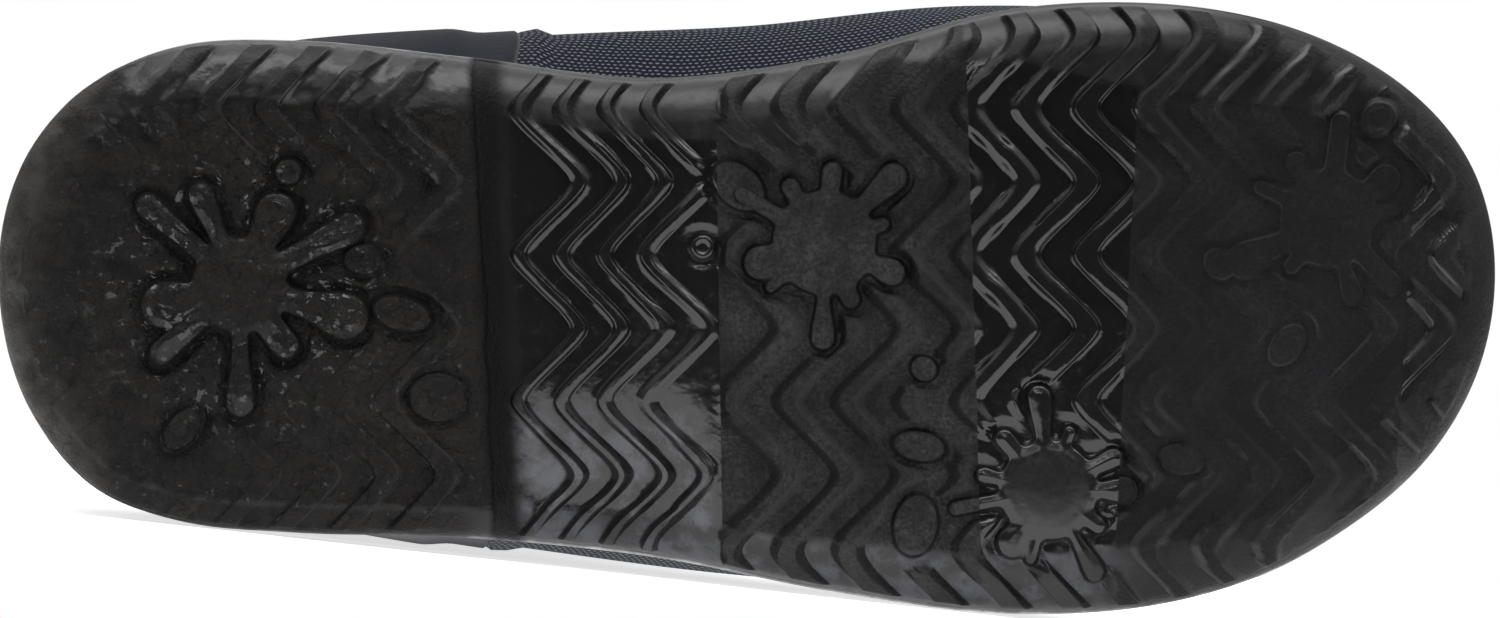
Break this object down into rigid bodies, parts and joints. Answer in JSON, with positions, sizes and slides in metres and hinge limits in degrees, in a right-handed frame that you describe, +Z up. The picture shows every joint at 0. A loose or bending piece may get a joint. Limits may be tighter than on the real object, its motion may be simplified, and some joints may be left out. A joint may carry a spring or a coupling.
{
  "type": "rubber boot",
  "caption": "Child's pull-on boot, left foot: rubber cup sole with zigzag ribs, splash pads and low heel, hollow knit-faced upper, heel overlay and insole; lies on its outer side.",
  "frame": {"origin": "on the floor, under the middle of the bounding box", "axes": "+X towards the toe, -Y the way the sole faces, +Z up, which is the boot's inner side as it lies on its outer side"},
  "size_m": [0.1982, 0.2084, 0.0833],
  "materials": {
    "outsole_rubber": "moulded black rubber, matte on the pads and glossy between them",
    "upper_knit": "navy knit facing over foam rubber",
    "counter_rubber": "smooth dark navy overlay",
    "insole_foam": "dark felt-faced foam"
  },
  "bodies": {
    "root": {"outsole": "outsole_rubber", "upper": "upper_knit", "heel_counter": "counter_rubber", "insole": "insole_foam"}
  },
  "joints": []
}
